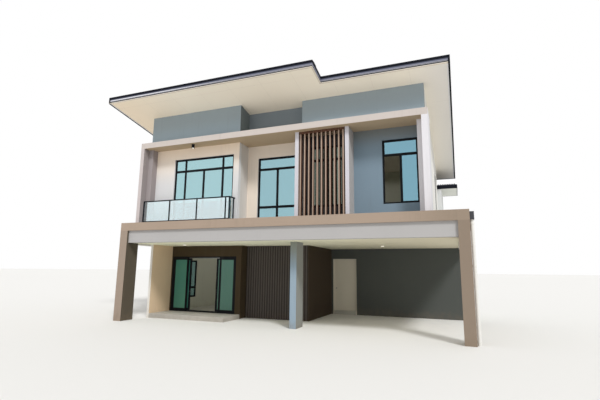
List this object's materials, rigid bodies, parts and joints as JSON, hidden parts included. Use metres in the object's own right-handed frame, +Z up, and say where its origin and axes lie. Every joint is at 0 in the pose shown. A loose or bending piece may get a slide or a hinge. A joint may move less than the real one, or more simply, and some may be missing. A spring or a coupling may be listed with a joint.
{
  "type": "detached house",
  "caption": "Modern two-storey detached house with a mono-pitch roof, a portal over terrace and carport, framed upper bays with a slatted screen, a sliding door and a side door.",
  "frame": {"origin": "centre of the bounding box on the ground, the plane where walls, legs and column stand", "axes": "+X along the front from left to right seen from the street, +Y from the front to the back, +Z up"},
  "size_m": [12.7, 10.42, 8.285],
  "materials": {
    "pale_concrete": "smooth screeded concrete",
    "cream_render": "fine painted render, cream",
    "brown_render": "fine painted render, dark brown",
    "fluted_brown": "fluted boards, dark brown, matt",
    "dark_render": "fine painted render, dark grey",
    "grey_render": "fine painted render, light grey",
    "taupe_render": "fine painted render, taupe",
    "ceiling_board": "painted fibre cement board",
    "blue_grey_render": "fine painted render, blue grey",
    "frame_render": "fine painted render, warm light grey",
    "timber": "stained slats",
    "dark_aluminium": "dark powder coat",
    "clear_glass": "clear",
    "tinted_glass": "green tint",
    "door_paint": "beige paint",
    "roof_metal": "dark profiled sheet",
    "soffit_board": "painted fibre cement board",
    "fascia_paint": "blue grey paint",
    "pale_paint": "pale paint",
    "gutter_metal": "dark grey paint",
    "pale_pipe": "white"
  },
  "bodies": {
    "house": {"ground_floor": "pale_concrete", "terrace_slab": "pale_concrete", "left_wall_ground": "cream_render", "terrace_wall": "brown_render", "terrace_wall_top": "brown_render", "entry_wall": "brown_render", "entry_return_wall": "brown_render", "entry_cladding": "fluted_brown", "return_cladding": "fluted_brown", "carport_wall": "dark_render", "carport_wall_top": "dark_render", "right_wall_ground": "cream_render", "rear_wall_ground": "cream_render", "column": "grey_render", "portal_legs": "taupe_render", "portal_band": "taupe_render", "front_beam": "grey_render", "side_beams": "cream_render", "ceiling": "ceiling_board", "upper_floor": "pale_concrete", "bay_wall": "cream_render", "bay_returns": "cream_render", "middle_wall": "cream_render", "right_bay_wall": "blue_grey_render", "left_wall_upper": "cream_render", "right_wall_upper": "cream_render", "rear_wall_upper": "cream_render", "upper_band": "blue_grey_render", "frame_slab": "frame_render", "frame_uprights": "frame_render", "screen_fins": "cream_render", "slat_screen": "timber", "balustrade": "dark_aluminium", "balustrade_glass": "clear_glass", "front_window_frames": "dark_aluminium", "front_window_glass": "tinted_glass", "side_window_frames": "dark_aluminium", "side_window_glass": "tinted_glass", "sliding_door_frame": "dark_aluminium", "sliding_door_glass": "tinted_glass", "door_frame": "door_paint", "roof_sheet": "roof_metal", "soffit": "soffit_board", "front_fascia": "fascia_paint", "fascia_strip": "pale_paint", "edge_trim": "roof_metal", "rear_wing_walls": "cream_render", "rear_wing_roof": "roof_metal", "rear_wing_soffit": "soffit_board", "gutter": "gutter_metal", "downpipe": "pale_pipe", "spot_lamp": "dark_aluminium", "ceiling_lights": "pale_pipe"},
    "left_leaf": {"left_leaf": "dark_aluminium", "left_leaf_glass": "tinted_glass"},
    "right_leaf": {"right_leaf": "dark_aluminium", "right_leaf_glass": "tinted_glass"},
    "carport_door": {"carport_door": "door_paint"}
  },
  "joints": [
    {"name": "left_leaf_slide", "type": "slide", "parent": "house", "child": "left_leaf", "axis": [1, 0, 0], "range_m": [-0.05, 0.6]},
    {"name": "right_leaf_slide", "type": "slide", "parent": "house", "child": "right_leaf", "axis": [1, 0, 0], "range_m": [-0.564, 0.084]},
    {"name": "carport_door_hinge", "type": "hinge", "parent": "house", "child": "carport_door", "pos_m": [1.866, 0.757, 0], "axis": [0, 0, -1], "range_deg": [0, 95]}
  ]
}
